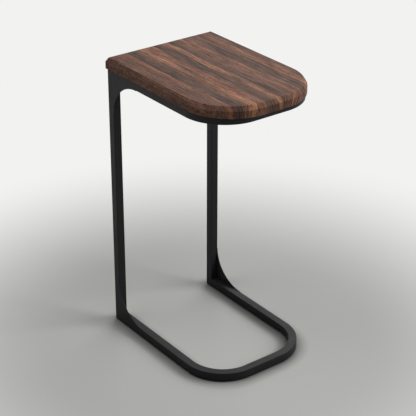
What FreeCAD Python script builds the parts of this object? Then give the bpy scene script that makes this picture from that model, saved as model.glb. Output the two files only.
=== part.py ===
import FreeCAD, Part
import math
import os

from FreeCAD import Vector

# C-shaped side table: a D-shaped wooden top on a bent steel tube frame.
# Millimetres. X runs across the table, the open rounded end points to -Y and Z is up.
# The origin is on the floor, under the middle of the top.

# Overall
total_height = 650.0

# Wooden top
top_width = 286.0
top_depth = 402.0
top_thickness = 25.0
top_corner_radius = 113.0
chamfer_width = 6.0
chamfer_height = 9.5

# Staves that the top is glued up from, left to right, as shares of its width
stave_shares = [50, 48, 63, 49, 52, 24]

# How far the top stands past the frame
side_overhang = 0.2
back_overhang = 9.0
front_overhang = 13.0

# Steel tube of the frame, with the outer radius of its bends seen from above
tube_size = 19.0
tube_wall = 1.5
tube_edge_chamfer = 0.8
top_rail_height = 15.0
bend_radius = 99.0

# Ground welds run this far over the broken edge of the tube that they meet
weld_reach = 0.6

# Curved corner plates, flush with the outer side of the frame
gusset_rail_leg = 88.0
gusset_upright_leg = 80.0
gusset_thickness = 2.0
gusset_toe = 0.8

# Tabs inside the top rail that carry the top, with slots across the grain
tab_length = 24.0
tab_reach = 22.0
tab_thickness = 3.0
tab_corner_chamfer = 3.0
tab_screw_reach = 12.0
tab_slot_travel = 3.0
tab_slot_clearance = 0.5
tab_from_upright = 62.0
tab_from_bend = 20.0

# Socket-head screws, washers and threaded inserts that hold the top down
screw_diameter = 5.0
screw_length = 15.0
screw_head_diameter = 9.5
screw_head_height = 2.8
screw_socket_size = 3.0
screw_socket_depth = 1.8
washer_diameter = 12.0
washer_thickness = 1.0
insert_diameter = 8.0
insert_length = 13.0
insert_hole_spare_depth = 0.5

# Levelling glides that screw into the frame
foot_diameter = 15.0
foot_height = 2.4
stud_diameter = 6.0
stud_length = 14.0
stud_head_size = 10.0
stud_head_height = 1.2
front_foot_from_front = 98.0

# Six-sided rivet nuts in the base rail and threaded plugs in the uprights
nut_flange_diameter = 13.0
nut_flange_thickness = 0.6
nut_body_size = 9.0
nut_body_length = 11.5
nut_bulge_size = 11.0
nut_bulge_height = 2.0
plug_length = 16.0

# Fits, each measured on the radius or on one side
press_clearance = 0.05
thread_clearance = 0.05
plug_clearance = 0.1

# Directions
up = Vector(0, 0, 1)
across = Vector(1, 0, 0)
sides = {"left": -1, "right": 1}

# Sizes that follow from the ones above
top_half_width = top_width / 2
top_back = top_depth / 2
top_front = -top_depth / 2
top_underside = total_height - top_thickness
frame_half_width = top_half_width - side_overhang
frame_back = top_back - back_overhang
frame_front = top_front + front_overhang
upright_front = frame_back - tube_size
upright_centre_x = frame_half_width - tube_size / 2
rail_inside = frame_half_width - tube_size
rail_bottom = foot_height + nut_flange_thickness
rail_top = rail_bottom + tube_size
top_rail_bottom = top_underside - top_rail_height
bend_start = frame_front + bend_radius
tab_bottom = top_underside - tab_thickness
washer_bottom = tab_bottom - washer_thickness
cut_margin = tube_size


def u_chain(half_width, back, front, corner_radius, height):
    """Edges of a U seen from above: left leg, left bend, front, right bend, right leg."""
    leg_end = front + corner_radius
    bend_x = half_width - corner_radius
    left_centre = Vector(-bend_x, leg_end, height)
    right_centre = Vector(bend_x, leg_end, height)
    return [
        Part.makeLine(Vector(-half_width, back, height), Vector(-half_width, leg_end, height)),
        Part.makeCircle(corner_radius, left_centre, up, 180, 270),
        Part.makeLine(Vector(-bend_x, front, height), Vector(bend_x, front, height)),
        Part.makeCircle(corner_radius, right_centre, up, 270, 360),
        Part.makeLine(Vector(half_width, leg_end, height), Vector(half_width, back, height)),
    ]


def top_outline():
    """Wire of the wooden top's D, at the height of its underside."""
    chain = u_chain(top_half_width, top_back, top_front, top_corner_radius, top_underside)
    right_corner = Vector(top_half_width, top_back, top_underside)
    left_corner = Vector(-top_half_width, top_back, top_underside)
    return Part.Wire(chain + [Part.makeLine(right_corner, left_corner)])


def u_bar(inset, back, bottom, height):
    """Bar bent to the frame's U, with its section moved inwards by the inset on both sides."""
    outer_half = frame_half_width - inset
    inner_half = rail_inside + inset
    outer_front = frame_front + inset
    inner_front = frame_front + tube_size - inset
    outer = u_chain(outer_half, back, outer_front, bend_radius - inset, bottom)
    inner = u_chain(inner_half, back, inner_front, bend_radius - tube_size + inset, bottom)
    ends = []
    for side in sides.values():
        outer_end = Vector(side * outer_half, back, bottom)
        inner_end = Vector(side * inner_half, back, bottom)
        ends.append(Part.makeLine(outer_end, inner_end))
    outline = Part.Wire(Part.sortEdges(outer + inner + ends)[0])
    return Part.Face(outline).extrude(up * height)


def square_bar(corner, size, axis):
    """Bar along one axis, with its long edges broken as the tube's are."""
    bar = Part.makeBox(size.x, size.y, size.z, corner)
    long_edges = [edge for edge in bar.Edges if round(abs(edge.tangentAt(0).dot(axis)))]
    return bar.makeChamfer(tube_edge_chamfer, long_edges)


def upright_bar(side):
    """Full section of an upright, before it is made hollow."""
    corner = Vector(side * upright_centre_x - tube_size / 2, upright_front, rail_bottom)
    size = Vector(tube_size, tube_size, top_underside - rail_bottom)
    return square_bar(corner, size, up)


def upright(side):
    bore_size = tube_size - 2 * tube_wall
    bore_height = top_underside - rail_bottom + 2 * cut_margin
    bore_x = side * upright_centre_x - bore_size / 2
    bore_corner = Vector(bore_x, upright_front + tube_wall, rail_bottom - cut_margin)
    return upright_bar(side).cut(Part.makeBox(bore_size, bore_size, bore_height, bore_corner))


def weld_to_uprights(shape):
    """Shape with its ends fitted to the broken edges of both uprights."""
    return shape.cut([upright_bar(side) for side in sides.values()])


def u_rail_bar(bottom, height):
    """Full section of a U rail with broken edges, before it is made hollow."""
    back = upright_front + weld_reach
    bar = u_bar(0, back, bottom, height)
    level = [edge for edge in bar.Edges if edge.BoundBox.ZLength < tube_edge_chamfer]
    long_edges = [edge for edge in level if edge.BoundBox.YMin < back - tube_edge_chamfer]
    return bar.makeChamfer(tube_edge_chamfer, long_edges)


def u_rail(bottom, height):
    bore = u_bar(tube_wall, upright_front + cut_margin, bottom + tube_wall, height - 2 * tube_wall)
    return weld_to_uprights(u_rail_bar(bottom, height).cut(bore))


def base_rail():
    """Lower U rail, with a six-sided hole through its underside for each front rivet nut."""
    hole_size = nut_body_size + 2 * press_clearance
    rail = u_rail(rail_bottom, tube_size)
    for side in sides.values():
        x, y = foot_place("front", side)
        rail = rail.cut(hexagon_prism(hole_size, tube_wall, Vector(x, y, rail_bottom)))
    return rail


def rear_cross_rail():
    """Tube that closes the top rail between the uprights."""
    half_length = rail_inside + weld_reach
    corner = Vector(-half_length, upright_front, top_rail_bottom)
    bar = square_bar(corner, Vector(2 * half_length, tube_size, top_rail_height), across)
    bore_depth = tube_size - 2 * tube_wall
    bore_height = top_rail_height - 2 * tube_wall
    bore_corner = corner + Vector(0, tube_wall, tube_wall)
    bore = Part.makeBox(2 * half_length, bore_depth, bore_height, bore_corner)
    return weld_to_uprights(bar.cut(bore))


def gusset(side, level):
    """Plate with a hollow curve in the corner between an upright and a rail.

    The lower plates stand on the base rail and the upper ones hang from the top rail.
    """
    if level == "lower":
        rail_face, away = rail_top, 1
        rail = u_rail_bar(rail_bottom, tube_size)
    else:
        rail_face, away = top_rail_bottom, -1
        rail = u_rail_bar(top_rail_bottom, top_rail_height)
    x = side * frame_half_width
    weld_y = upright_front + weld_reach
    weld_z = rail_face - away * weld_reach
    leg_y = upright_front - gusset_rail_leg
    leg_z = rail_face + away * gusset_upright_leg
    corner = Vector(x, weld_y, weld_z)
    upright_toe = Vector(x, weld_y, leg_z)
    rail_toe = Vector(x, leg_y, weld_z)
    curve_start = Vector(x, upright_front - gusset_toe, leg_z)
    curve_end = Vector(x, leg_y, rail_face + away * gusset_toe)
    curve_centre = Vector(x, leg_y, leg_z)
    short_end, long_end = sorted([curve_start, curve_end], key=curve_centre.distanceToPoint)
    hollow = Part.Ellipse(long_end, short_end, curve_centre)
    edges = [
        Part.makeLine(corner, upright_toe),
        Part.makeLine(upright_toe, curve_start),
        Part.ArcOfEllipse(hollow, 0, math.pi / 2).toShape(),
        Part.makeLine(curve_end, rail_toe),
        Part.makeLine(rail_toe, corner),
    ]
    outline = Part.Wire(Part.sortEdges(edges)[0])
    plate = Part.Face(outline).extrude(Vector(-side * gusset_thickness, 0, 0))
    return weld_to_uprights(plate.cut(rail))


def tab_places():
    """Side of each tab and its place along the top rail."""
    rows = {"front": bend_start + tab_from_bend, "rear": upright_front - tab_from_upright}
    places = {}
    for side_name, side in sides.items():
        for row, y in rows.items():
            places["%s_%s_tab" % (side_name, row)] = (side, y)
    return places


def screw_spots():
    """Centre of each tab's screw, seen from above."""
    return [(side * (rail_inside - tab_screw_reach), y) for side, y in tab_places().values()]


def mounting_tab(side, y):
    """Flat tab with two clipped corners and a slot that lets the wood move across its grain."""
    tab_middle = rail_inside - tab_reach / 2
    corner = Vector(side * tab_middle - tab_reach / 2, y - tab_length / 2, tab_bottom)
    plate = Part.makeBox(tab_reach, tab_length, tab_thickness, corner)
    upright_edges = [edge for edge in plate.Edges if edge.BoundBox.ZLength > tab_thickness / 2]
    free_corners = [edge for edge in upright_edges if side * edge.CenterOfMass.x < tab_middle]
    plate = plate.makeChamfer(tab_corner_chamfer, free_corners)
    slot_radius = screw_diameter / 2 + tab_slot_clearance
    slot_middle = Vector(side * (rail_inside - tab_screw_reach), y, tab_bottom)
    slot_start = slot_middle - across * (tab_slot_travel / 2)
    slot_end = slot_middle + across * (tab_slot_travel / 2)
    slot_corner = slot_start - Vector(0, slot_radius, 0)
    slot = [
        Part.makeCylinder(slot_radius, tab_thickness, slot_start),
        Part.makeCylinder(slot_radius, tab_thickness, slot_end),
        Part.makeBox(tab_slot_travel, 2 * slot_radius, tab_thickness, slot_corner),
    ]
    return plate.cut(slot)


def hexagon_prism(across_flats, height, base):
    """Six-sided prism that stands on the base point."""
    corner_radius = across_flats / math.sqrt(3)
    corners = []
    for degrees in range(0, 360, 60):
        angle = math.radians(degrees)
        corners.append(base + Vector(math.cos(angle), math.sin(angle), 0) * corner_radius)
    return Part.Face(Part.makePolygon(corners + corners[:1])).extrude(up * height)


def tab_screw(x, y):
    """Screw seen from below: head with a socket, and a plain shank in place of the thread."""
    head_bottom = Vector(x, y, washer_bottom - screw_head_height)
    head = Part.makeCylinder(screw_head_diameter / 2, screw_head_height, head_bottom)
    shank = Part.makeCylinder(screw_diameter / 2, screw_length, Vector(x, y, washer_bottom))
    socket = hexagon_prism(screw_socket_size, screw_socket_depth, head_bottom)
    return head.fuse(shank).removeSplitter().cut(socket)


def tab_washer(x, y):
    bottom = Vector(x, y, washer_bottom)
    hole = Part.makeCylinder(screw_diameter / 2 + tab_slot_clearance, washer_thickness, bottom)
    return Part.makeCylinder(washer_diameter / 2, washer_thickness, bottom).cut(hole)


def threaded_insert(x, y):
    bottom = Vector(x, y, top_underside)
    hole = Part.makeCylinder(screw_diameter / 2 + thread_clearance, insert_length, bottom)
    return Part.makeCylinder(insert_diameter / 2, insert_length, bottom).cut(hole)


def top_panel():
    """Whole top before it is split into staves: D outline, chamfer all round and insert holes."""
    blank = Part.Face(top_outline()).extrude(up * top_thickness)
    top_edges = [edge for edge in blank.Edges if edge.BoundBox.ZMin > top_underside + top_thickness / 2]
    panel = blank.makeChamfer(chamfer_height, chamfer_width, top_edges)
    hole_radius = insert_diameter / 2 + press_clearance
    hole_depth = insert_length + insert_hole_spare_depth
    for x, y in screw_spots():
        panel = panel.cut(Part.makeCylinder(hole_radius, hole_depth, Vector(x, y, top_underside)))
    return panel


def top_staves():
    """The panel cut along its glue lines, from left to right."""
    panel = top_panel()
    staves = []
    left = -top_half_width
    for share in stave_shares:
        width = top_width * share / sum(stave_shares)
        corner = Vector(left, top_front, top_underside)
        staves.append(panel.common(Part.makeBox(width, top_depth, top_thickness, corner)))
        left += width
    return staves


def foot_place(row, side):
    """Centre of a glide, seen from above."""
    if row == "front":
        return side * upright_centre_x, frame_front + front_foot_from_front
    return side * upright_centre_x, upright_front + tube_size / 2


def foot(x, y):
    """Round glide with a six-sided pocket for the head of its stud."""
    disc = Part.makeCylinder(foot_diameter / 2, foot_height, Vector(x, y, 0))
    pocket_size = stud_head_size + 2 * press_clearance
    pocket_base = Vector(x, y, foot_height - stud_head_height)
    return disc.cut(hexagon_prism(pocket_size, stud_head_height, pocket_base))


def stud(x, y):
    """Stud with a thin six-sided head, and a plain shank in place of the thread."""
    head = hexagon_prism(stud_head_size, stud_head_height, Vector(x, y, foot_height - stud_head_height))
    shank = Part.makeCylinder(stud_diameter / 2, stud_length, Vector(x, y, foot_height))
    return head.fuse(shank).removeSplitter()


def rivet_nut(x, y):
    """Rivet nut whose flange and bulge grip the underside wall of the base rail."""
    flange = Part.makeCylinder(nut_flange_diameter / 2, nut_flange_thickness, Vector(x, y, foot_height))
    body = hexagon_prism(nut_body_size, nut_body_length, Vector(x, y, rail_bottom))
    bulge = hexagon_prism(nut_bulge_size, nut_bulge_height, Vector(x, y, rail_bottom + tube_wall))
    bore_radius = stud_diameter / 2 + thread_clearance
    bore = Part.makeCylinder(bore_radius, nut_flange_thickness + nut_body_length, Vector(x, y, foot_height))
    return flange.fuse([body, bulge]).removeSplitter().cut(bore)


def tube_plug(x, y):
    """Threaded plug pressed into the foot of an upright, with a thin rim over the tube's end."""
    rim_corner = Vector(x - tube_size / 2, y - tube_size / 2, foot_height)
    rim = square_bar(rim_corner, Vector(tube_size, tube_size, nut_flange_thickness), up)
    body_size = tube_size - 2 * (tube_wall + plug_clearance)
    body_corner = Vector(x - body_size / 2, y - body_size / 2, rail_bottom)
    body = Part.makeBox(body_size, body_size, plug_length, body_corner)
    bore_radius = stud_diameter / 2 + thread_clearance
    bore = Part.makeCylinder(bore_radius, nut_flange_thickness + plug_length, Vector(x, y, foot_height))
    return rim.fuse(body).removeSplitter().cut(bore)


def build():
    """Every piece of the table, by the name of its node."""
    pieces = {}
    for number, stave in enumerate(top_staves(), start=1):
        pieces["top_stave_%d" % number] = stave
    pieces["base_rail"] = base_rail()
    pieces["top_rail"] = u_rail(top_rail_bottom, top_rail_height)
    pieces["rear_cross_rail"] = rear_cross_rail()
    for side_name, side in sides.items():
        pieces[side_name + "_upright"] = upright(side)
        for level in ("lower", "upper"):
            pieces["%s_%s_gusset" % (level, side_name)] = gusset(side, level)
        for row in ("front", "rear"):
            x, y = foot_place(row, side)
            corner_name = "%s_%s" % (row, side_name)
            pieces[corner_name + "_foot"] = foot(x, y)
            pieces[corner_name + "_stud"] = stud(x, y)
            if row == "front":
                pieces[corner_name + "_rivet_nut"] = rivet_nut(x, y)
            else:
                pieces[corner_name + "_tube_plug"] = tube_plug(x, y)
    for tab_name, (side, y) in tab_places().items():
        pieces[tab_name] = mounting_tab(side, y)
    spots = screw_spots()
    pieces["tab_screws"] = Part.makeCompound([tab_screw(x, y) for x, y in spots])
    pieces["tab_washers"] = Part.makeCompound([tab_washer(x, y) for x, y in spots])
    pieces["threaded_inserts"] = Part.makeCompound([threaded_insert(x, y) for x, y in spots])
    return pieces


os.makedirs("parts", exist_ok=True)
for name, shape in build().items():
    shape.exportStep("parts/%s.step" % name)
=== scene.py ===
import math

import bmesh
import bpy
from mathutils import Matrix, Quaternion, Vector


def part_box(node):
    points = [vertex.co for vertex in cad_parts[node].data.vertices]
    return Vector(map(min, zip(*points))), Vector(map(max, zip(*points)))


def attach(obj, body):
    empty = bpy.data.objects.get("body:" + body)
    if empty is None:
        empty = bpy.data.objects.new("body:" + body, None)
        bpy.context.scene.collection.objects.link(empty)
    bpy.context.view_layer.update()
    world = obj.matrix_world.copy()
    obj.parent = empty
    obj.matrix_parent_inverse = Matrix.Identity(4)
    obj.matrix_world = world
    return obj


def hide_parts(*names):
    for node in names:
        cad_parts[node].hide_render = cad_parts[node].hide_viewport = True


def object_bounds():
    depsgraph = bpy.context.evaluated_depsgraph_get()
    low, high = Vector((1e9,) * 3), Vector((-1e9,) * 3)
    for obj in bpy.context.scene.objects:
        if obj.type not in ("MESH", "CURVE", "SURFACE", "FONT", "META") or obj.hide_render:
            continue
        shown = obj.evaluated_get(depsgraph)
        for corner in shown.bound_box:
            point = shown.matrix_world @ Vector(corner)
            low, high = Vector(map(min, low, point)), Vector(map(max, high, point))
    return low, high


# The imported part, and its box before anything is dressed
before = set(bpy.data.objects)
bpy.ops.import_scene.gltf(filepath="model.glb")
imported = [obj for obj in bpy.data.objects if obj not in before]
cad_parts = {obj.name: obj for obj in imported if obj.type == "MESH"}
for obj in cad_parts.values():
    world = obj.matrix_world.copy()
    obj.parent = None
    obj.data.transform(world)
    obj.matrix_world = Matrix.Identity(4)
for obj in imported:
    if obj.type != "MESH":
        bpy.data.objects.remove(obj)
cad_low, cad_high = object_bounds()

MM = 0.001

# Wooden top: the shape of its edge
STAVE_NODES = ["top_stave_%d" % number for number in range(1, 7)]
CHAMFER_WIDTH = 6 * MM
CHAMFER_HEIGHT = 9.5 * MM
FRONT_BEND_RADIUS = 113 * MM
FRONT_BEND_STEPS = 40
BACK_CORNER_RADIUS = 3 * MM
BACK_CORNER_STEPS = 6
ARRIS_WIDTH = 0.9 * MM
ARRIS_STEPS = 4

# Square tube, and the corner plates that are ground flush with it
TUBE_EDGE_RADIUS = 1.2 * MM
TUBE_EDGE_STEPS = 4
TUBE_BEND_RADIUS = 99 * MM
TUBE_BEND_STEPS = 40
PLATE_TOE = 0.8 * MM
PLATE_CURVE_STEPS = 40
PLATE_EDGE_WIDTH = 0.35 * MM
PLATE_EDGE_STEPS = 2
PLATE_EDGE_ANGLE = 60

# Turned pieces. A profile gives shares of a piece's radius and height, from the bottom up.
TURN_STEPS = 48
SCREW_SHANK_RADIUS = 2.5 * MM
SCREW_HEAD_PROFILE = [(0.72, 0.0), (0.9, 0.22), (0.98, 0.55), (1.0, 0.85), (1.0, 1.0)]
SOCKET_SIZE = 3 * MM
SOCKET_DEPTH = 1.8 * MM
SOCKET_LEAD_WIDTH = 0.25 * MM
SOCKET_LEAD_DEPTH = 0.1 * MM
WASHER_RADIUS = 6 * MM
WASHER_HOLE_RADIUS = 3 * MM
WASHER_PROFILE = [(0.97, 0.0), (1.0, 0.2), (1.0, 1.0)]

# Levelling glides
CORNERS = ["front_left", "front_right", "rear_left", "rear_right"]
FOOT_PROFILE = [(0.86, 0.0), (0.95, 0.1), (1.0, 0.28), (1.0, 0.8), (0.96, 1.0)]
FOOT_CENTRE_SHARE = 0.2
STUD_RADIUS = 3 * MM
STUD_HEAD_SIZE = 10 * MM
STUD_HEAD_HEIGHT = 1.2 * MM
STUD_END_CHAMFER = 0.6 * MM
THREAD_PITCH = 1 * MM
THREAD_DEPTH = 0.6 * MM
THREAD_STEPS = 8
PRESS_FIT = 0.05 * MM

# Round faces meet flat ones in a sharp edge past this many degrees
SHARP_ANGLE = 35

# Photographed view
CAMERA_PLACE = Vector((-1.5994, -2.0856, 1.6738))
CAMERA_AIM = Vector((-0.0077, 0.0129, 0.3232))
CAMERA_ROLL = math.radians(0.11)
CAMERA_LENS = 116.3
CAMERA_SENSOR = 36.0

# Floor: its own colour with a painted contact shade near the table, and the background's colour far
# away
FLOOR_COLOUR = "cfcfcc"
FLOOR_ROUGHNESS = 0.9
FLOOR_RADIUS = 9.0
FLOOR_STEPS = 96
FADE_START = 0.35
FADE_END = 1.0
PAINTED_CONTACT_SHADE_REACH = 32 * MM
PAINTED_CONTACT_SHADE_DEPTH = 1.4
BACKGROUND_COLOUR = "f2f2f1"

# Lamps: bearing from +X and climb, in degrees, and power in watts
LAMPS = {
    "front_right_lamp": (320, 28, 57),
    "back_right_lamp": (38, 30, 26),
    "back_left_lamp": (155, 60, 25),
    "front_lamp": (265, 60, 15),
}
LAMP_DISTANCE = 3.2
LAMP_SIZE = 2.0

# Even light from all around
WORLD_COLOUR = "ffffff"
WORLD_LIGHT = 0.03

# Tones of oiled dark walnut
TONES = {
    "dark heart": "604b42",
    "grey brown": "6f5448",
    "mauve brown": "815d4e",
    "russet": "946751",
    "honey": "ad7d61",
}
PORE_COLOUR = "2b211d"

# Staves from left to right. Lean is how far the growth layers slope sideways, seed moves the random
# figure, and bands give the tone at shares of the stave's width.
STAVES = [
    {"lean": 0.20, "seed": 56.0, "bands": [
        (0.0, "grey brown"), (0.25, "mauve brown"), (0.5, "grey brown"),
        (0.75, "mauve brown"), (0.92, "russet"), (1.0, "mauve brown")]},
    {"lean": -0.16, "seed": 85.5, "bands": [
        (0.0, "dark heart"), (0.28, "dark heart"), (0.55, "grey brown"),
        (0.75, "russet"), (0.9, "honey"), (0.98, "grey brown")]},
    {"lean": 0.12, "seed": 53.9, "bands": [
        (0.0, "mauve brown"), (0.2, "russet"), (0.36, "grey brown"),
        (0.44, "dark heart"), (0.6, "dark heart"), (0.72, "mauve brown"),
        (0.86, "honey"), (0.96, "russet"), (1.0, "grey brown")]},
    {"lean": -0.20, "seed": 58.8, "bands": [
        (0.0, "dark heart"), (0.16, "dark heart"), (0.32, "mauve brown"),
        (0.46, "grey brown"), (0.66, "russet"), (0.8, "mauve brown")]},
    {"lean": 0.18, "seed": 33.6, "bands": [
        (0.0, "mauve brown"), (0.2, "grey brown"), (0.4, "dark heart"),
        (0.6, "mauve brown"), (0.85, "russet"), (1.0, "mauve brown")]},
    {"lean": -0.14, "seed": 39.7, "bands": [
        (0.0, "mauve brown"), (0.5, "grey brown"), (1.0, "grey brown")]},
]

# Layers of the wood's figure. Size is that of a feature across, along and through the board, in
# millimetres. The span of the noise is spread over the reach. Lines, fibres, flecks and pores are
# drawn several times coarser than real ones, which are too fine to show.
FIGURE = {
    "wander": {"size": (70, 200, 70), "detail": 2.0, "roughness": 0.5,
               "span": (0.0, 1.0), "reach": (-9 * MM, 9 * MM)},
    "streak": {"size": (5, 150, 12), "detail": 4.0, "roughness": 0.62,
               "span": (0.2, 0.8), "reach": (-0.3, 0.3)},
    "cloud": {"size": (18, 60, 18), "detail": 2.0, "roughness": 0.5,
              "span": (0.25, 0.75), "reach": (0.75, 1.25)},
    "line": {"size": (2.5, 130, 7), "detail": 3.0, "roughness": 0.6,
             "span": (0.25, 0.75), "reach": (0.2, 1.8)},
    "fibre": {"size": (1.8, 50, 4), "detail": 4.0, "roughness": 0.65,
              "span": (0.0, 1.0), "reach": (0.0, 1.0)},
    "fleck": {"size": (4.0, 10, 6), "detail": 2.0, "roughness": 0.5,
              "span": (0.25, 0.75), "reach": (-0.2, 0.2)},
    "pore": {"size": (1.6, 13, 2.5), "detail": 3.0, "roughness": 0.6,
             "span": (0.55, 0.7), "reach": (0.0, 0.75)},
}

# How strongly fibres lighten and darken the wood: a span of their noise, and its reach
FIBRE_SPAN = (0.25, 0.75)
FIBRE_REACH = (0.2, 1.8)

# The wood's edges, as shares of what the upper face has
STREAKS_ON_EDGES = 0.5
GRAIN_ON_EDGES = 0.45
FLECKS_ON_EDGES = 2.2
END_GRAIN_AND_SHADE_LEVEL = 0.7

# How late the darker end grain starts as a face turns to the end, and how late painted shade
# deepens it as the face gets steep
END_GRAIN_ONSET = 1.5
STEEP_SHADE_ONSET = 2.0

# How much paler painted light makes a slope than a flat face, and how slowly the figure changes
# down the end grain
PAINTED_SLOPE_LIGHT = 0.7
END_GRAIN_CHANGE = 0.15

# Oiled surface of the wood: smoother on the fibres than between them, and broken by the pores
WOOD_ROUGHNESS = (0.6, 0.46)
WOOD_GLOSS = 0.04
FIBRE_HEIGHT = 0.5
PORE_DEPTH = 0.1 * MM
WOOD_RELIEF = 0.3

# Metal and plastic finishes: broad patches where the roughness differs, and the depth of the grit
PATCH_SIZE = 40 * MM
PATCH_SPAN = (0.3, 0.7)
GRIT_DEPTH = 0.05 * MM


def feed(tree, node, inputs):
    """Set a node's inputs. Each is a value, an output socket, or a node for its first output."""
    for key, value in inputs.items():
        if isinstance(value, bpy.types.Node):
            value = value.outputs[0]
        if isinstance(value, bpy.types.NodeSocket):
            tree.links.new(value, node.inputs[key])
        else:
            node.inputs[key].default_value = value


def add(tree, kind, inputs=None, **settings):
    """Add a node with its settings and inputs."""
    made = tree.nodes.new(kind)
    for name, value in settings.items():
        setattr(made, name, value)
    feed(tree, made, inputs or {})
    return made


def linear(hex_colour):
    """Scene-linear colour, with alpha, of an sRGB hex value such as 70564a."""
    colour = []
    for start in (0, 2, 4):
        level = int(hex_colour[start:start + 2], 16) / 255
        colour.append(level / 12.92 if level <= 0.04045 else ((level + 0.055) / 1.055) ** 2.4)
    return (*colour, 1.0)


def new_material(name):
    """Material with a principled shader, and its node tree and shader."""
    material = bpy.data.materials.new(name)
    material.use_nodes = True
    return material, material.node_tree, material.node_tree.nodes["Principled BSDF"]


def figure_layer(tree, place, seed, kind):
    """One layer of the wood's figure, as a value that varies over the board."""
    layer = FIGURE[kind]
    across, along, through = layer["size"]
    scaled = add(tree, "ShaderNodeMapping", {
        "Vector": place,
        "Location": (seed, seed, seed),
        "Scale": (1 / (across * MM), 1 / (along * MM), 1 / (through * MM)),
    })
    noise = add(tree, "ShaderNodeTexNoise", {
        "Vector": scaled,
        "Scale": 1.0,
        "Detail": layer["detail"],
        "Roughness": layer["roughness"],
    })
    return add(tree, "ShaderNodeMapRange", {
        "Value": noise,
        "From Min": layer["span"][0],
        "From Max": layer["span"][1],
        "To Min": layer["reach"][0],
        "To Max": layer["reach"][1],
    })


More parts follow.
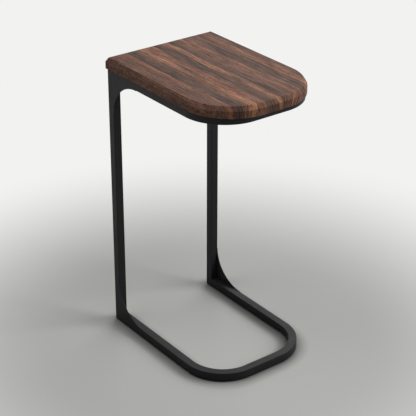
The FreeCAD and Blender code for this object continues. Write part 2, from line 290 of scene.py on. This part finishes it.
def walnut(name, left, right, look):
    """Dark walnut, planed, sanded and oiled.

    Long wavy streaks run front to back, from near black through brown to honey. Fine fibres and
    short open pores lie along them, and the oil leaves a soft satin gloss that the pores break up.
    """
    material, tree, shader = new_material(name)
    spot = add(tree, "ShaderNodeTexCoord").outputs
    seed = look["seed"]

    # Growth layers lean sideways and wander along the board
    axes = add(tree, "ShaderNodeSeparateXYZ", {"Vector": spot["Object"]}).outputs
    below = add(tree, "ShaderNodeMath", {0: axes["Z"], 1: cad_high.z}, operation="SUBTRACT")
    leaning = add(tree, "ShaderNodeMath", {
        0: below, 1: look["lean"], 2: axes["X"]}, operation="MULTIPLY_ADD")
    wander = figure_layer(tree, spot["Object"], seed, "wander")
    layer = add(tree, "ShaderNodeMath", {0: leaning, 1: wander}, operation="ADD")

    # Which way the surface faces: 1 where it faces straight that way, and 0 square to it
    facing = add(tree, "ShaderNodeSeparateXYZ", {"Vector": spot["Normal"]}).outputs
    sideways = add(tree, "ShaderNodeMath", {0: facing["X"], 1: facing["X"]}, operation="MULTIPLY")
    endways = add(tree, "ShaderNodeMath", {0: facing["Y"], 1: facing["Y"]}, operation="MULTIPLY")
    upwards = add(tree, "ShaderNodeMath", {0: facing["Z"], 1: facing["Z"]}, operation="MULTIPLY")
    upright = add(tree, "ShaderNodeMath", {0: 1.0, 1: upwards}, operation="SUBTRACT")

    # The figure changes fast down the sides of the board, and slowly down its end grain
    fall = add(tree, "ShaderNodeMapRange", {"Value": sideways, "To Min": END_GRAIN_CHANGE})
    depth = add(tree, "ShaderNodeMath", {0: below, 1: fall}, operation="MULTIPLY")
    figure = add(tree, "ShaderNodeCombineXYZ", {"X": layer, "Y": axes["Y"], "Z": depth})

    # Broad bands of colour, frayed into streaks at their borders
    fray = add(tree, "ShaderNodeMapRange", {"Value": upwards, "To Min": STREAKS_ON_EDGES})
    streak = figure_layer(tree, figure, seed, "streak")
    streak = add(tree, "ShaderNodeMath", {0: streak, 1: fray}, operation="MULTIPLY")
    share = add(tree, "ShaderNodeMapRange", {"Value": layer, "From Min": left, "From Max": right})
    frayed = add(tree, "ShaderNodeMath", {0: share, 1: streak}, operation="ADD")
    bands = add(tree, "ShaderNodeValToRGB", {"Fac": frayed})
    stops = bands.color_ramp.elements
    while len(stops) < len(look["bands"]):
        stops.new(0.5)
    for stop, (position, tone) in zip(stops, look["bands"]):
        stop.position = position
        stop.color = linear(TONES[tone])

    # Clouds, grain lines and fibres lighten and darken the bands
    cloud = figure_layer(tree, figure, seed, "cloud")
    line = figure_layer(tree, figure, seed, "line")
    fibre = figure_layer(tree, figure, seed, "fibre")
    hair = add(tree, "ShaderNodeMapRange", {
        "Value": fibre, "From Min": FIBRE_SPAN[0], "From Max": FIBRE_SPAN[1],
        "To Min": FIBRE_REACH[0], "To Max": FIBRE_REACH[1]})
    grain = add(tree, "ShaderNodeMath", {0: cloud, 1: line}, operation="MULTIPLY")
    grain = add(tree, "ShaderNodeMath", {0: grain, 1: hair}, operation="MULTIPLY")
    contrast = add(tree, "ShaderNodeMath", {0: grain, 1: 1.0}, operation="SUBTRACT")

    # Cut ends of the fibres drink more oil, so end grain is darker, and painted shade darkens it
    # more the steeper the face. Painted light makes the chamfer and the rounded arrises paler, and
    # all the edges are more even than the upper face.
    ends = add(tree, "ShaderNodeMath", {0: endways, 1: END_GRAIN_ONSET}, operation="POWER")
    # Painted shade: the end grain's darkening grows the steeper the face
    painted_shade_on_steep = add(tree, "ShaderNodeMath", {0: upright, 1: STEEP_SHADE_ONSET}, operation="POWER")
    end_grain_and_steep_shade = add(tree, "ShaderNodeMath", {0: ends, 1: painted_shade_on_steep}, operation="MULTIPLY")
    end_grain_and_painted_shade = add(tree, "ShaderNodeMapRange", {
        "Value": end_grain_and_steep_shade, "To Min": 1.0, "To Max": END_GRAIN_AND_SHADE_LEVEL})
    # Painted light: sloped faces, the chamfer and the rounded arrises, are made paler
    painted_light_on_slopes = add(tree, "ShaderNodeMath", {0: upwards, 1: upright}, operation="MULTIPLY")
    level = add(tree, "ShaderNodeMath", {
        0: painted_light_on_slopes, 1: PAINTED_SLOPE_LIGHT, 2: end_grain_and_painted_shade}, operation="MULTIPLY_ADD")
    boldness = add(tree, "ShaderNodeMapRange", {"Value": upwards, "To Min": GRAIN_ON_EDGES})
    shade = add(tree, "ShaderNodeMath", {
        0: contrast, 1: boldness, 2: level}, operation="MULTIPLY_ADD")

    # Short flecks, stronger on the edges
    fleck = figure_layer(tree, figure, seed, "fleck")
    strength = add(tree, "ShaderNodeMapRange", {
        "Value": upwards, "To Min": FLECKS_ON_EDGES, "To Max": 1.0})
    fleck = add(tree, "ShaderNodeMath", {0: fleck, 1: strength}, operation="MULTIPLY")
    shade = add(tree, "ShaderNodeMath", {0: shade, 1: fleck, 2: shade}, operation="MULTIPLY_ADD")
    streaked = add(tree, "ShaderNodeHueSaturation", {"Color": bands, "Value": shade})

    # Open pores: short dark dashes along the grain
    pore = figure_layer(tree, figure, seed, "pore")
    coloured = add(tree, "ShaderNodeMix", {
        "Factor": pore, "A": streaked, "B": linear(PORE_COLOUR)}, data_type="RGBA")

    # The oil's soft satin, and the relief of fibres and pores
    satin = add(tree, "ShaderNodeMapRange", {
        "Value": fibre, "To Min": WOOD_ROUGHNESS[0], "To Max": WOOD_ROUGHNESS[1]})
    ridge = add(tree, "ShaderNodeMath", {0: fibre, 1: FIBRE_HEIGHT}, operation="MULTIPLY")
    relief = add(tree, "ShaderNodeMath", {0: ridge, 1: pore}, operation="SUBTRACT")
    bump = add(tree, "ShaderNodeBump", {
        "Height": relief, "Strength": WOOD_RELIEF, "Distance": PORE_DEPTH})
    feed(tree, shader, {
        "Base Color": coloured.outputs[2],
        "Roughness": satin,
        "Specular IOR Level": WOOD_GLOSS,
        "Normal": bump,
    })
    return material


def speckled(name, base, fleck, grit, roughness, relief, metallic=0.0, gloss=0.5):
    """Finish with a grit of this size in millimetres: two close tones and a shallow bump.

    The grit is drawn coarser than real grain, which is too fine to show. The roughness varies
    between its two values in broad patches, as handling leaves it.
    """
    material, tree, shader = new_material(name)
    place = add(tree, "ShaderNodeTexCoord").outputs["Object"]
    grain = add(tree, "ShaderNodeTexNoise", {
        "Vector": place, "Scale": 1 / (grit * MM), "Detail": 3.0})
    patch = add(tree, "ShaderNodeTexNoise", {
        "Vector": place, "Scale": 1 / PATCH_SIZE, "Detail": 2.0})
    tint = add(tree, "ShaderNodeMix", {
        "Factor": grain, "A": linear(base), "B": linear(fleck)}, data_type="RGBA")
    polish = add(tree, "ShaderNodeMapRange", {
        "Value": patch, "From Min": PATCH_SPAN[0], "From Max": PATCH_SPAN[1],
        "To Min": roughness[0], "To Max": roughness[1]})
    bump = add(tree, "ShaderNodeBump", {
        "Height": grain, "Strength": relief, "Distance": GRIT_DEPTH})
    feed(tree, shader, {
        "Base Color": tint.outputs[2],
        "Roughness": polish,
        "Normal": bump,
        "Metallic": metallic,
        "Specular IOR Level": gloss,
    })
    return material


def powder_coat():
    """Polyester powder coat, baked on steel: matt black with the faint ripple of orange peel."""
    return speckled("powder_coated_steel", "222224", "29292a", grit=0.9,
                    roughness=(0.4, 0.5), relief=0.15, gloss=0.1)


def zinc():
    """Zinc plating on steel: pale grey metal, slightly blue, with a fine crystalline mottle."""
    return speckled("bright_zinc_plate", "a9adb2", "bcc0c4", grit=0.6,
                    roughness=(0.25, 0.38), relief=0.1, metallic=1.0)


def brass():
    """Turned brass: warm yellow metal, a little dulled."""
    return speckled("turned_brass", "b5925a", "c8a66c", grit=0.5,
                    roughness=(0.28, 0.4), relief=0.1, metallic=1.0)


def pale_nylon():
    """Moulded natural nylon: milky off-white, with a soft sheen and fine scuffs."""
    return speckled("moulded_natural_nylon", "e4e1d8", "eeebe4", grit=0.7,
                    roughness=(0.38, 0.5), relief=0.12)


def black_nylon():
    """Moulded black nylon: deep black, with the fine spark texture of its mould."""
    return speckled("moulded_black_nylon", "121213", "1a1a1b", grit=0.5,
                    roughness=(0.5, 0.6), relief=0.25)


def link(name, mesh, materials=()):
    """Object with this mesh, in the scene, at the origin."""
    piece = bpy.data.objects.new(name, mesh)
    bpy.context.scene.collection.objects.link(piece)
    for material in materials:
        mesh.materials.append(material)
    return piece


def from_bmesh(name, shape, material):
    """Object with a finished bmesh, with its faces turned outwards."""
    bmesh.ops.recalc_face_normals(shape, faces=shape.faces)
    mesh = bpy.data.meshes.new(name)
    shape.to_mesh(mesh)
    shape.free()
    return link(name, mesh, [material])


def smooth(piece):
    """Shade round faces smooth and keep flat ones flat."""
    piece.data.shade_smooth()
    piece.data.set_sharp_from_angle(angle=math.radians(SHARP_ANGLE))
    weighted = piece.modifiers.new("flat faces stay flat", "WEIGHTED_NORMAL")
    weighted.keep_sharp = True
    return piece


def stand_for(piece, node, body):
    """Let the piece take the place of a CAD node, on that node's body."""
    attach(piece, body)
    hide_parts(node)


def close_rings(shape, rings, capped=True):
    """Join rings of as many points into a closed solid, from the bottom ring to the top one."""
    for lower, upper in zip(rings, rings[1:]):
        for index in range(len(lower)):
            after = (index + 1) % len(lower)
            shape.faces.new((lower[index], lower[after], upper[after], upper[index]))
    if capped:
        shape.faces.new(reversed(rings[0]))
        shape.faces.new(rings[-1])


def top_box():
    """Lowest and highest corner of the whole wooden top."""
    boxes = [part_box(node) for node in STAVE_NODES]
    low = Vector([min(box[0][axis] for box in boxes) for axis in range(3)])
    high = Vector([max(box[1][axis] for box in boxes) for axis in range(3)])
    return low, high


def arc_points(centre, radius, start, end, steps):
    """Points on a flat arc, from a start angle to an end angle in degrees."""
    points = []
    for step in range(steps + 1):
        angle = math.radians(start + (end - start) * step / steps)
        x = centre[0] + radius * math.cos(angle)
        y = centre[1] + radius * math.sin(angle)
        points.append(Vector((x, y)))
    return points


def top_ring(low, high, inset):
    """The top's D outline, anticlockwise from above, moved inwards by the inset."""
    bend_x = high.x - FRONT_BEND_RADIUS
    bend_y = low.y + FRONT_BEND_RADIUS
    bend_radius = FRONT_BEND_RADIUS - inset
    back_radius = max(BACK_CORNER_RADIUS - inset, ARRIS_WIDTH)
    back_x = high.x - inset - back_radius
    back_y = high.y - inset - back_radius
    return (arc_points((-back_x, back_y), back_radius, 90, 180, BACK_CORNER_STEPS)
            + arc_points((-bend_x, bend_y), bend_radius, 180, 270, FRONT_BEND_STEPS)
            + arc_points((bend_x, bend_y), bend_radius, 270, 360, FRONT_BEND_STEPS)
            + arc_points((back_x, back_y), back_radius, 0, 90, BACK_CORNER_STEPS))


def eased(corners):
    """Line through these corners, with each one between its ends rounded over the arris width."""
    points = []
    for before, corner, after in zip(corners, corners[1:], corners[2:]):
        start = corner + (before - corner).normalized() * ARRIS_WIDTH
        end = corner + (after - corner).normalized() * ARRIS_WIDTH
        for step in range(ARRIS_STEPS + 1):
            along = step / ARRIS_STEPS
            points.append(start.lerp(corner, along).lerp(corner.lerp(end, along), along))
    return points


def chamfered_top():
    """Whole top with its chamfer and sanded arrises, as a bmesh."""
    low, high = top_box()
    section = eased([
        Vector((CHAMFER_WIDTH, low.z)),
        Vector((0, low.z)),
        Vector((0, high.z - CHAMFER_HEIGHT)),
        Vector((CHAMFER_WIDTH, high.z)),
        Vector((2 * CHAMFER_WIDTH, high.z)),
    ])
    shape = bmesh.new()
    rings = []
    for inset, height in section:
        outline = top_ring(low, high, inset)
        rings.append([shape.verts.new((*point, height)) for point in outline])
    close_rings(shape, rings)
    return shape


def slice_between(shape, left, right):
    """Closed copy of a bmesh between two planes across X."""
    piece = shape.copy()
    for place, outwards in ((left, -1), (right, 1)):
        everything = piece.verts[:] + piece.edges[:] + piece.faces[:]
        bmesh.ops.bisect_plane(piece, geom=everything, plane_co=(place, 0, 0),
                               plane_no=(outwards, 0, 0), clear_outer=True)
    rim = [edge for edge in piece.edges if edge.is_boundary]
    if rim:
        bmesh.ops.holes_fill(piece, edges=rim)
    return piece


def build_top():
    """Six staves of walnut, each in the place of its CAD node."""
    whole = chamfered_top()
    for number, (node, look) in enumerate(zip(STAVE_NODES, STAVES), start=1):
        low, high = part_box(node)
        material = walnut("oiled_walnut_%d" % number, low.x, high.x, look)
        shape = slice_between(whole, low.x, high.x)
        piece = from_bmesh("walnut_stave_%d" % number, shape, material)
        stand_for(smooth(piece), node, "frame")
    whole.free()


def new_tree(name, inputs):
    """Geometry node tree with a geometry input and output, and these named inputs."""
    tree = bpy.data.node_groups.new(name, "GeometryNodeTree")
    tree.interface.new_socket("Geometry", in_out="INPUT", socket_type="NodeSocketGeometry")
    for label, kind in inputs.items():
        tree.interface.new_socket(label, in_out="INPUT", socket_type=kind)
    tree.interface.new_socket("Geometry", in_out="OUTPUT", socket_type="NodeSocketGeometry")
    return tree, add(tree, "NodeGroupInput").outputs


def finish_tree(tree, geometry, material):
    """Close a tree: real geometry instead of instances, in its material."""
    real = add(tree, "GeometryNodeRealizeInstances", {"Geometry": geometry})
    painted = add(tree, "GeometryNodeSetMaterial", {"Geometry": real, "Material": material})
    add(tree, "NodeGroupOutput", {"Geometry": painted})


def grow(name, points, edges, tree, values):
    """Plain mesh object that a geometry node tree makes from points and edges."""
    path = bpy.data.meshes.new(name + "_path")
    path.from_pydata(points, edges, [])
    piece = link(name, path)
    modifier = piece.modifiers.new("shape", "NODES")
    modifier.node_group = tree
    for item in tree.interface.items_tree:
        if item.in_out == "INPUT" and item.name in values:
            modifier[item.identifier] = values[item.name]
    evaluated = piece.evaluated_get(bpy.context.evaluated_depsgraph_get())
    grown = bpy.data.meshes.new_from_object(evaluated)
    piece.modifiers.remove(modifier)
    piece.data = grown
    bpy.data.meshes.remove(path)
    return piece


def tube_tree():
    """Square tube with rounded edges, bent along a line of points."""
    tree, given = new_tree("bent_square_tube", {
        "Width": "NodeSocketFloat",
        "Height": "NodeSocketFloat",
        "Edge radius": "NodeSocketFloat",
        "Edge steps": "NodeSocketInt",
        "Bend radius": "NodeSocketFloat",
        "Bend steps": "NodeSocketInt",
        "Finish": "NodeSocketMaterial",
    })
    line = add(tree, "GeometryNodeMeshToCurve", {"Mesh": given["Geometry"]})
    bent = add(tree, "GeometryNodeFilletCurve", {
        "Curve": line,
        "Count": given["Bend steps"],
        "Radius": given["Bend radius"],
    }, mode="POLY")
    square = add(tree, "GeometryNodeCurvePrimitiveQuadrilateral", {
        "Width": given["Width"], "Height": given["Height"]})
    section = add(tree, "GeometryNodeFilletCurve", {
        "Curve": square,
        "Count": given["Edge steps"],
        "Radius": given["Edge radius"],
    }, mode="POLY")
    tube = add(tree, "GeometryNodeCurveToMesh", {
        "Curve": bent, "Profile Curve": section, "Fill Caps": True})
    finish_tree(tree, tube, given["Finish"])
    return tree


def tube_paths(tube_size):
    """Middle line of each tube, from the boxes of the CAD nodes.

    A tube that is welded to another runs into the rounding of the other's edges.
    """
    post_low, post_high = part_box("left_upright")
    rail_low, rail_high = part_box("base_rail")
    post_y = (post_low.y + post_high.y) / 2
    side_x = rail_high.x - tube_size / 2
    front_y = rail_low.y + tube_size / 2
    weld_x = side_x - tube_size / 2 + TUBE_EDGE_RADIUS
    weld_y = post_low.y + TUBE_EDGE_RADIUS

    paths = {}
    for node in ("base_rail", "top_rail"):
        z = sum(corner.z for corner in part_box(node)) / 2
        paths[node] = [(-side_x, weld_y, z), (-side_x, front_y, z),
                       (side_x, front_y, z), (side_x, weld_y, z)]
    z = sum(corner.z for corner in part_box("rear_cross_rail")) / 2
    paths["rear_cross_rail"] = [(-weld_x, post_y, z), (weld_x, post_y, z)]
    for node, x in (("left_upright", -side_x), ("right_upright", side_x)):
        low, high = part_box(node)
        paths[node] = [(x, post_y, low.z), (x, post_y, high.z)]
    return paths


def build_tubes(finish):
    """Two U rails, the cross rail and the two uprights, welded and ground flush."""
    tree = tube_tree()
    post_low, post_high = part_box("left_upright")
    tube_size = post_high.x - post_low.x
    for node, points in tube_paths(tube_size).items():
        low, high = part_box(node)
        edges = [(index, index + 1) for index in range(len(points) - 1)]
        tube = grow(node + "_tube", points, edges, tree, {
            "Width": tube_size,
            "Height": tube_size if node.endswith("upright") else high.z - low.z,
            "Edge radius": TUBE_EDGE_RADIUS,
            "Edge steps": TUBE_EDGE_STEPS,
            "Bend radius": TUBE_BEND_RADIUS - tube_size / 2,
            "Bend steps": TUBE_BEND_STEPS,
            "Finish": finish,
        })
        stand_for(smooth(tube), node, "frame")


def corner_plate(node, finish):
    """Plate with an elliptical hollow, its straight sides sunk into the tubes' rounded edges."""
    low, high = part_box(node)
    post_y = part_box("left_upright")[0].y
    if node.startswith("lower"):
        rail_z, tip_z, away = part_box("base_rail")[1].z, high.z, 1
    else:
        rail_z, tip_z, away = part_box("top_rail")[0].z, low.z, -1
    sunk_y = post_y + TUBE_EDGE_RADIUS
    sunk_z = rail_z - away * TUBE_EDGE_RADIUS
    outline = [(low.y, sunk_z), (sunk_y, sunk_z), (sunk_y, tip_z)]
    reach_y = post_y - PLATE_TOE - low.y
    reach_z = abs(tip_z - rail_z) - PLATE_TOE
    for point in arc_points((0, 0), 1, 0, 90, PLATE_CURVE_STEPS):
        outline.append((low.y + reach_y * point.x, tip_z - away * reach_z * point.y))

    shape = bmesh.new()
    face = shape.faces.new([shape.verts.new((low.x, y, z)) for y, z in outline])
    made = bmesh.ops.extrude_face_region(shape, geom=[face])
    moved = [item for item in made["geom"] if isinstance(item, bmesh.types.BMVert)]
    bmesh.ops.translate(shape, verts=moved, vec=(high.x - low.x, 0, 0))
    shape.normal_update()
    free = []
    for edge in shape.edges:
        middle = (edge.verts[0].co + edge.verts[1].co) / 2
        clear_of_tubes = middle.y < post_y and away * (middle.z - rail_z) > 0
        if clear_of_tubes and edge.calc_face_angle() > math.radians(PLATE_EDGE_ANGLE):
            free.append(edge)
    bmesh.ops.bevel(shape, geom=free, offset=PLATE_EDGE_WIDTH, segments=PLATE_EDGE_STEPS,
                    profile=0.5, affect="EDGES")
    return from_bmesh(node + "_plate", shape, finish)


def build_corner_plates(finish):
    """Four plates with a hollow curve, flush with the outer side of the tubes."""
    for level in ("lower", "upper"):
        for side in ("left", "right"):
            node = "%s_%s_gusset" % (level, side)
            plate = smooth(corner_plate(node, finish))
            stand_for(plate, node, "frame")


def ring_reach(radius, height, form, angle):
    """Distance from the axis of a ring's point at this angle."""
    if form == "six-sided":
        return radius / math.cos(angle % (math.pi / 3) - math.pi / 6)
    if form == "thread":
        turn = 2 * math.pi * height / THREAD_PITCH
        return radius - THREAD_DEPTH / 2 * (1 - math.cos(turn - angle))
    return radius


def turned(name, profile, material):
    """Solid about the Z axis, from rings of a radius and a height, from its bottom to its top.

    A third value says what a ring is where it isn't round. A six-sided ring's radius is half its
    width across the flats, and a thread's is that of its crest. A profile that ends where it
    starts makes a piece with a hole.
    """
    shape = bmesh.new()
    rings = []
    pierced = profile[0] == profile[-1]
    if pierced:
        profile = profile[:-1]
    for radius, height, *form in profile:
        ring = []
        for step in range(TURN_STEPS):
            angle = 2 * math.pi * step / TURN_STEPS
            reach = ring_reach(radius, height, form[0] if form else "round", angle)
            ring.append(shape.verts.new((reach * math.cos(angle), reach * math.sin(angle), height)))
        rings.append(ring)
    if pierced:
        rings.append(rings[0])
    close_rings(shape, rings, capped=not pierced)
    return from_bmesh(name, shape, material)


def sized(profile, radius, height):
    """Rings of a profile at this radius and height."""
    return [(radius * outwards, height * upwards) for outwards, upwards in profile]


def fasten_tree():
    """One fastener, repeated at each point."""
    tree, given = new_tree("fasteners_at_tabs", {
        "Fastener": "NodeSocketObject",
        "Finish": "NodeSocketMaterial",
    })
    model = add(tree, "GeometryNodeObjectInfo", {"Object": given["Fastener"]})
    copies = add(tree, "GeometryNodeInstanceOnPoints", {
        "Points": given["Geometry"], "Instance": model.outputs["Geometry"]})
    finish_tree(tree, copies, given["Finish"])
    return tree


def tab_points(height):
    """Centre of each tab's screw at this height."""
    low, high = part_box("tab_washers")
    columns = (low.x + WASHER_RADIUS, high.x - WASHER_RADIUS)
    rows = (low.y + WASHER_RADIUS, high.y - WASHER_RADIUS)
    return [(x, y, height) for x in columns for y in rows]


def button_screw(finish):
    """Screw with a domed head below and a six-sided socket in it, its head's face at height 0."""
    low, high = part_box("tab_screws")
    head_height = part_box("tab_washers")[0].z - low.z
    head_radius = high.x - tab_points(0)[-1][0]
    socket = SOCKET_SIZE / 2
    return turned("screw_model", [
        (socket, SOCKET_DEPTH, "six-sided"),
        (socket, SOCKET_LEAD_DEPTH, "six-sided"),
        (socket + SOCKET_LEAD_WIDTH, 0, "six-sided"),
        *sized(SCREW_HEAD_PROFILE, head_radius, head_height),
        (SCREW_SHANK_RADIUS, head_height),
        (SCREW_SHANK_RADIUS, high.z - low.z),
    ], finish)


def flat_washer(finish):
    """Washer with a stamped edge, its lower face at height 0."""
    low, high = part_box("tab_washers")
    height = high.z - low.z
    return turned("washer_model", [
        (WASHER_HOLE_RADIUS, 0),
        *sized(WASHER_PROFILE, WASHER_RADIUS, height),
        (WASHER_HOLE_RADIUS, height),
        (WASHER_HOLE_RADIUS, 0),
    ], finish)


def build_fasteners(finish):
    """Button screws and washers under the tabs."""
    tree = fasten_tree()
    models = {"tab_screws": button_screw(finish), "tab_washers": flat_washer(finish)}
    for node, model in models.items():
        spots = tab_points(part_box(node)[0].z)
        group = grow(node + "_set", spots, [], tree, {"Fastener": model, "Finish": finish})
        stand_for(smooth(group), node, "frame")
        bpy.data.objects.remove(model)


def move_mesh(piece, offset):
    """Shift the mesh itself, so that its object stays at the origin."""
    for vertex in piece.data.vertices:
        vertex.co += Vector(offset)


def glide_foot(corner, height, radius, nylon):
    """Moulded foot with softened rims and a six-sided pocket in its upper face."""
    pocket = STUD_HEAD_SIZE / 2 + PRESS_FIT
    centre = radius * FOOT_CENTRE_SHARE
    return turned(corner + "_glide", [
        (centre, 0),
        *sized(FOOT_PROFILE, radius, height),
        (pocket, height, "six-sided"),
        (pocket, height - STUD_HEAD_HEIGHT, "six-sided"),
        (centre, height - STUD_HEAD_HEIGHT),
    ], nylon)


def threaded_stud(corner, foot_height, length, steel):
    """Rolled stud: a thin six-sided head in the foot, and a thread up to a chamfered end."""
    head_bottom = foot_height - STUD_HEAD_HEIGHT
    core = STUD_RADIUS - THREAD_DEPTH
    step_height = THREAD_PITCH / THREAD_STEPS
    thread_start = foot_height + step_height
    thread_end = foot_height + length - STUD_END_CHAMFER
    rings = [
        (STUD_HEAD_SIZE / 2, head_bottom, "six-sided"),
        (STUD_HEAD_SIZE / 2, foot_height, "six-sided"),
        (core, foot_height),
    ]
    for step in range(round((thread_end - thread_start) / step_height) + 1):
        rings.append((STUD_RADIUS, thread_start + step * step_height, "thread"))
    rings.append((core - STUD_END_CHAMFER / 2, foot_height + length))
    return turned(corner + "_threaded_stud", rings, steel)


def build_glides(nylon, steel):
    """Levelling glides: a nylon foot and its threaded stud, on each leveller."""
    for corner in CORNERS:
        low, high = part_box(corner + "_foot")
        centre = ((low.x + high.x) / 2, (low.y + high.y) / 2, low.z)
        height = high.z - low.z
        stud_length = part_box(corner + "_stud")[1].z - high.z
        foot = glide_foot(corner, height, (high.x - low.x) / 2, nylon)
        stud = threaded_stud(corner, height, stud_length, steel)
        for piece, node, slot in (
                (foot, corner + "_foot", "pale_nylon"),
                (stud, corner + "_stud", "zinc_plated_steel")):
            move_mesh(piece, centre)
            stand_for(smooth(piece), node, corner + "_leveller")


def dress(ending, material):
    """Give this material to CAD nodes that keep their own shape, by the ending of their names."""
    for name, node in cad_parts.items():
        if name.endswith(ending):
            node.data.materials.clear()
            node.data.materials.append(material)


def seen_directly(tree):
    """1 for rays that show the background itself, also in a mirror or through glass, and else 0."""
    rays = add(tree, "ShaderNodeLightPath").outputs
    first = add(tree, "ShaderNodeMath", {
        0: rays["Is Camera Ray"], 1: rays["Is Glossy Ray"]}, operation="MAXIMUM")
    return add(tree, "ShaderNodeMath", {
        0: first, 1: rays["Is Transmission Ray"]}, operation="MAXIMUM")


def build_stage():
    """Plain pale floor that holds the shadow and fades to the background's white further out."""
    shape = bmesh.new()
    bmesh.ops.create_circle(shape, cap_ends=True, segments=FLOOR_STEPS, radius=FLOOR_RADIUS)
    material, tree, shader = new_material("pale_floor")
    # Painted contact shade: ambient occlusion darkens the floor's own colour near the rails
    openness = add(tree, "ShaderNodeAmbientOcclusion", {"Distance": PAINTED_CONTACT_SHADE_REACH})
    painted_contact_shade = add(tree, "ShaderNodeGamma", {"Color": openness, "Gamma": PAINTED_CONTACT_SHADE_DEPTH})
    tinted = add(tree, "ShaderNodeMix", {
        "Factor": 1.0, "A": painted_contact_shade, "B": linear(FLOOR_COLOUR)},
        data_type="RGBA", blend_type="MULTIPLY")
    feed(tree, shader, {"Base Color": tinted.outputs[2], "Roughness": FLOOR_ROUGHNESS})

    place = add(tree, "ShaderNodeTexCoord").outputs["Object"]
    distance = add(tree, "ShaderNodeVectorMath", {0: place}, operation="LENGTH").outputs["Value"]
    fade = add(tree, "ShaderNodeMapRange", {
        "Value": distance, "From Min": FADE_START, "From Max": FADE_END},
        interpolation_type="SMOOTHSTEP")
    shown = add(tree, "ShaderNodeMath", {0: fade, 1: seen_directly(tree)}, operation="MULTIPLY")
    white = add(tree, "ShaderNodeEmission", {"Color": linear(BACKGROUND_COLOUR), "Strength": 1.0})
    mixed = add(tree, "ShaderNodeMixShader", {"Fac": shown, 1: shader, 2: white})
    feed(tree, tree.nodes["Material Output"], {"Surface": mixed})
    from_bmesh("floor", shape, material)


def build_world():
    """Even white surroundings: a plain level of light, and a pale background behind the table."""
    world = bpy.data.worlds.new("studio")
    bpy.context.scene.world = world
    world.use_nodes = True
    tree = world.node_tree
    tree.nodes.clear()
    light = add(tree, "ShaderNodeBackground", {
        "Color": linear(WORLD_COLOUR), "Strength": WORLD_LIGHT})
    seen = add(tree, "ShaderNodeBackground", {
        "Color": linear(BACKGROUND_COLOUR), "Strength": 1.0})
    mixed = add(tree, "ShaderNodeMixShader", {"Fac": seen_directly(tree), 1: light, 2: seen})
    add(tree, "ShaderNodeOutputWorld", {"Surface": mixed})


def softbox(name, bearing, climb, power):
    """Square lamp that faces the middle of the table."""
    lamp = bpy.data.lights.new(name, "AREA")
    lamp.shape = "SQUARE"
    lamp.size = LAMP_SIZE
    lamp.energy = power
    holder = bpy.data.objects.new(name, lamp)
    bpy.context.scene.collection.objects.link(holder)
    bearing = math.radians(bearing)
    climb = math.radians(climb)
    level = Vector((math.cos(bearing), math.sin(bearing), 0))
    outwards = level * math.cos(climb) + Vector((0, 0, math.sin(climb)))
    holder.location = Vector((0, 0, cad_high.z / 2)) + outwards * LAMP_DISTANCE
    holder.rotation_mode = "QUATERNION"
    holder.rotation_quaternion = (-outwards).to_track_quat("-Z", "Y")


def build_camera():
    """Camera at the photographed angle and framing."""
    lens = bpy.data.cameras.new("camera")
    lens.lens = CAMERA_LENS
    lens.sensor_width = CAMERA_SENSOR
    camera = bpy.data.objects.new("camera", lens)
    bpy.context.scene.collection.objects.link(camera)
    camera.location = CAMERA_PLACE
    camera.rotation_mode = "QUATERNION"
    aim = (CAMERA_AIM - CAMERA_PLACE).to_track_quat("-Z", "Y")
    camera.rotation_quaternion = aim @ Quaternion((0, 0, 1), CAMERA_ROLL)
    bpy.context.scene.camera = camera


coat = powder_coat()
steel = zinc()
build_top()
build_tubes(coat)
build_corner_plates(coat)
build_fasteners(steel)
build_glides(pale_nylon(), steel)
dress("_tab", coat)
dress("_rivet_nut", steel)
dress("_tube_plug", black_nylon())
dress("threaded_inserts", brass())

build_stage()
build_world()
for lamp_name, (lamp_bearing, lamp_climb, lamp_power) in LAMPS.items():
    softbox(lamp_name, lamp_bearing, lamp_climb, lamp_power)
build_camera()
bpy.context.scene.view_settings.view_transform = "Standard"
